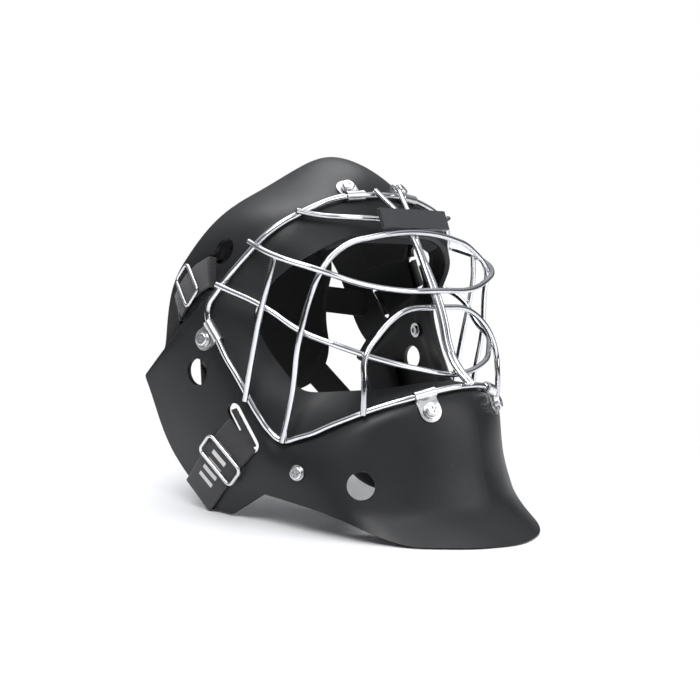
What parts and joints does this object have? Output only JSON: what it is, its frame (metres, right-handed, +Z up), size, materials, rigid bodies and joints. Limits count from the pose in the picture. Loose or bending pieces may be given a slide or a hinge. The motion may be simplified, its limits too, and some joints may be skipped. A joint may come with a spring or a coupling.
{
  "type": "goalie mask",
  "caption": "Hard-shell goalkeeper's mask with a bright bent-wire face cage, clips, webbing, foam lining and a hinged back plate.",
  "frame": {"origin": "under the middle of the whole mask, at the height of the lowest point that it stands on", "axes": "+Z up, -Y out of the face opening, +X to the wearer's left"},
  "size_m": [0.2432, 0.2901, 0.2595],
  "materials": {
    "shell": "satin, finely grained",
    "wire": "bright",
    "fastener": "satin",
    "badge": "satin",
    "webbing": "woven",
    "foam": "soft",
    "back_plate": "satin",
    "chin_cup": "soft"
  },
  "bodies": {
    "mask": {"shell": "shell", "cage_frame": "wire", "cage_upper_bar": "wire", "cage_lower_bar": "wire", "cage_brow_bar": "wire", "cage_eye_wire": "wire", "cage_chin_arch": "wire", "cage_side_bar_right": "wire", "cage_side_bar_left": "wire", "cage_centre_wires": "wire", "badge_plate": "badge", "clip_top_right": "fastener", "clip_top_left": "fastener", "clip_side_right": "fastener", "clip_side_left": "fastener", "clip_chin_right": "fastener", "clip_chin_left": "fastener", "clip_washers": "fastener", "clip_screws": "fastener", "clip_nuts": "fastener", "jaw_washers": "fastener", "jaw_screws": "fastener", "jaw_nuts": "fastener", "lower_strap_right": "webbing", "lower_strap_left": "webbing", "upper_strap_right": "webbing", "upper_strap_left": "webbing", "crown_strap": "webbing", "upper_tail_right": "webbing", "upper_tail_left": "webbing", "lower_tail_right": "webbing", "lower_tail_left": "webbing", "chin_sling_right": "webbing", "chin_sling_left": "webbing", "lower_buckle_right": "fastener", "lower_buckle_left": "fastener", "upper_buckle_right": "fastener", "upper_buckle_left": "fastener", "brow_pad": "foam", "crown_pad": "foam", "temple_pad_right": "foam", "temple_pad_left": "foam", "cheek_pad_right": "foam", "cheek_pad_left": "foam", "chin_cup": "chin_cup"},
    "back_plate": {"back_plate": "back_plate", "back_plate_pad": "foam", "top_strap": "webbing"}
  },
  "joints": [
    {"name": "back_plate_swing", "type": "hinge", "parent": "mask", "child": "back_plate", "pos_m": [0, 0.1295, 0.221], "axis": [1, 0, 0], "range_deg": [-8, 25], "stiffness_Nm_per_rad": 1, "deforming": ["upper_tail_right", "upper_tail_left", "lower_tail_right", "lower_tail_left"]}
  ]
}
